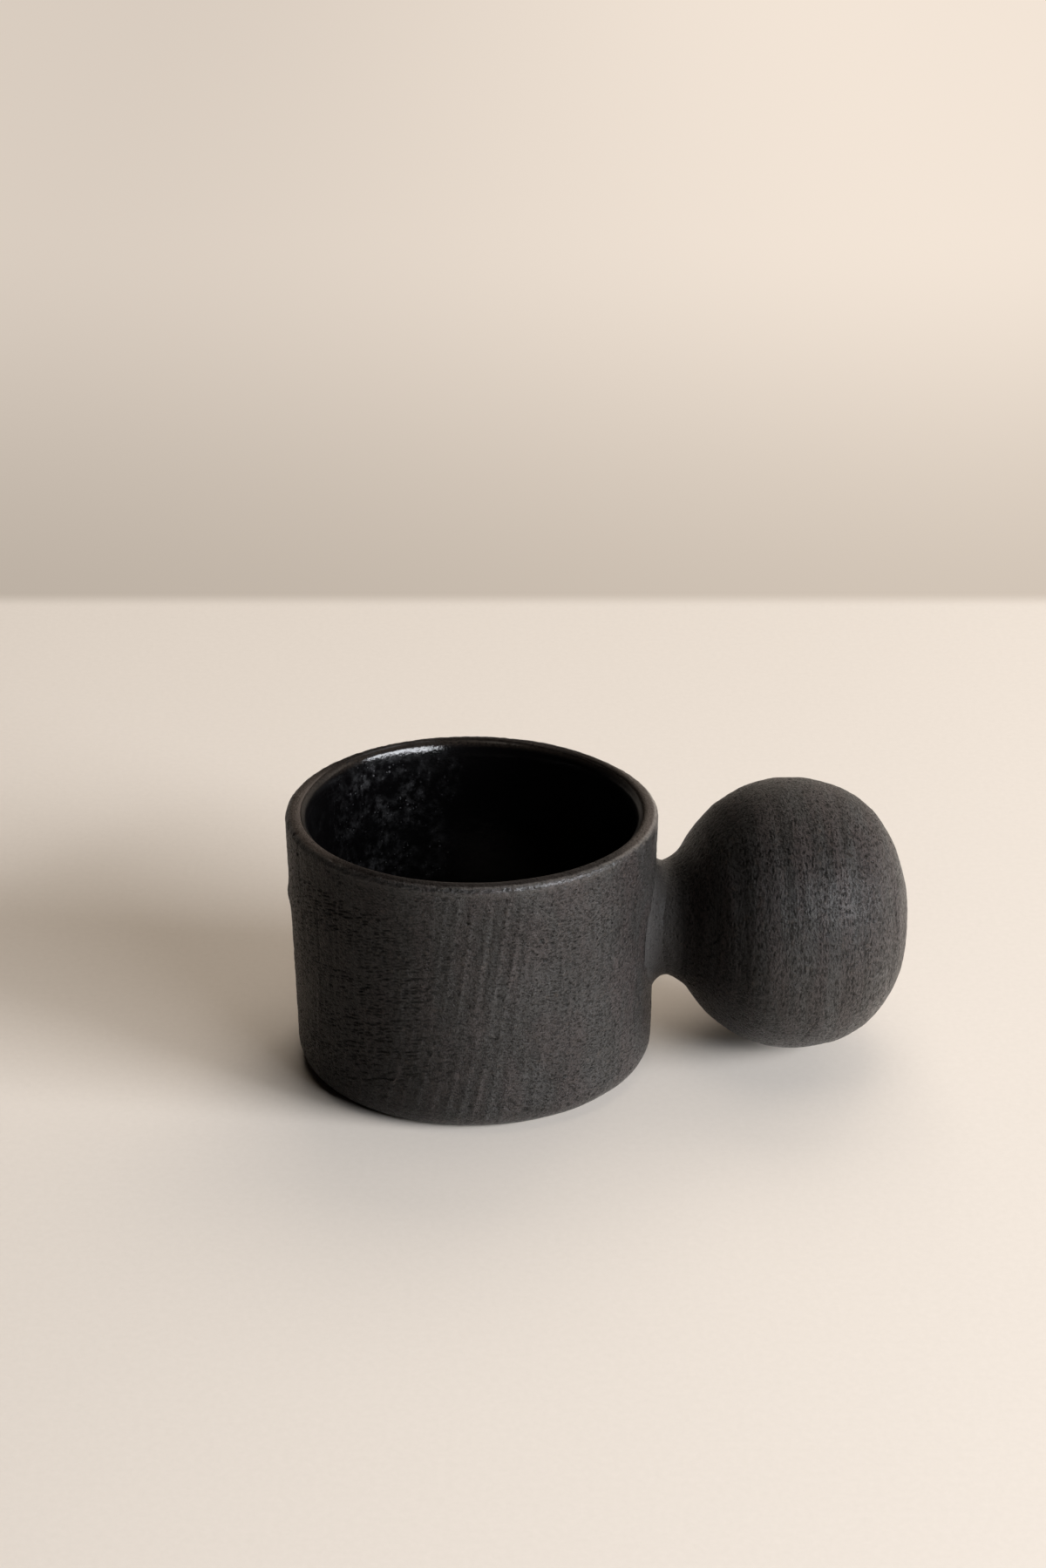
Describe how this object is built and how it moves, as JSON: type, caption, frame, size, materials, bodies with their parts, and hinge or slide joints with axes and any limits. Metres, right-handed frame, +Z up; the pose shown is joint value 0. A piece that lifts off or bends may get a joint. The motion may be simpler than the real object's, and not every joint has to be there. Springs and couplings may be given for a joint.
{
  "type": "espresso cup",
  "caption": "Low straight-sided stoneware espresso cup, glazed inside, with a hollow thrown ball on a short neck for a handle.",
  "frame": {"origin": "centre of the cup's flat underside, on the cup's axis", "axes": "+Z up along the cup's axis, +X along the handle's axis from the cup towards the ball, +Y to the back"},
  "size_m": [0.1113, 0.066, 0.0499],
  "materials": {
    "black_clay": "unglazed black stoneware, matt, chattered and pitted",
    "black_glaze": "glossy black glaze with fine pale specks"
  },
  "bodies": {
    "root": {"cup_body": "black_clay", "glaze_lining": "black_glaze", "handle_ball": "black_clay", "slip_ring": "black_clay", "joint_coil": "black_clay"}
  },
  "joints": []
}
